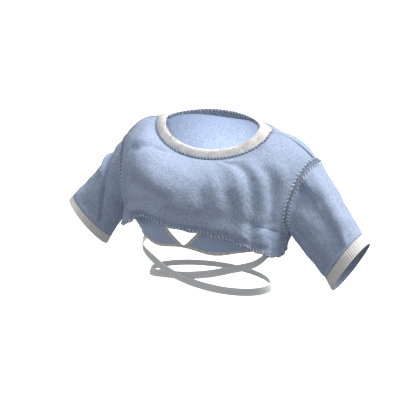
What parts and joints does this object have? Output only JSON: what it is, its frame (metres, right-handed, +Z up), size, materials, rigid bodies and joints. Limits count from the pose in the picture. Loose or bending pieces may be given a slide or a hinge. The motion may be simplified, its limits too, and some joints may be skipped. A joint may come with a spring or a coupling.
{
  "type": "cropped wrap top",
  "caption": "Short cropped fleece top with ribbed collar and cuffs, short raised sleeves, a sewn-in plunge bralette and a flat strap crossed round the waist.",
  "frame": {"origin": "middle of the shoulder line, in the neck opening, where a wearer or hanger holds the top", "axes": "+Z up, -Y the way the wearer faces, +X towards the wearer's left; X is the longest extent, cuff to cuff"},
  "size_m": [0.7119, 0.3086, 0.378],
  "materials": {
    "fleece": "matte brushed fleece",
    "rib": "matte ribbed knit",
    "stitch": "matte overlock thread",
    "tape": "matte stitched tape",
    "hem": "matte raw rolled edge",
    "cup": "smooth matte lining cloth",
    "binding": "smooth folded binding",
    "strap": "flat woven strap, satin"
  },
  "bodies": {
    "shirt": {"front_body": "fleece", "back_body": "fleece", "collar_rib": "rib", "collar_seam": "stitch", "neck_tape": "tape", "hem_band": "hem", "under_band": "binding", "waist_strap": "strap", "shoulder_seam_left": "stitch", "armhole_seam_left": "stitch", "side_seam_left": "stitch", "cup_left": "cup", "cup_inner_binding_left": "binding", "cup_outer_binding_left": "binding", "shoulder_strap_left": "binding", "shoulder_seam_right": "stitch", "armhole_seam_right": "stitch", "side_seam_right": "stitch", "cup_right": "cup", "cup_inner_binding_right": "binding", "cup_outer_binding_right": "binding", "shoulder_strap_right": "binding"},
    "left_sleeve": {"sleeve_left": "fleece", "underarm_seam_left": "stitch", "cuff_seam_left": "stitch", "cuff_left": "rib"},
    "right_sleeve": {"sleeve_right": "fleece", "underarm_seam_right": "stitch", "cuff_seam_right": "stitch", "cuff_right": "rib"}
  },
  "joints": [
    {"name": "left_sleeve_lift", "type": "hinge", "parent": "shirt", "child": "left_sleeve", "pos_m": [0.209, 0.011, -0.133], "axis": [0, -1, 0], "range_deg": [-15, 40], "deforming": ["sleeve_left", "underarm_seam_left"]},
    {"name": "right_sleeve_lift", "type": "hinge", "parent": "shirt", "child": "right_sleeve", "pos_m": [-0.209, 0.011, -0.133], "axis": [0, 1, 0], "range_deg": [-15, 40], "deforming": ["sleeve_right", "underarm_seam_right"]}
  ]
}
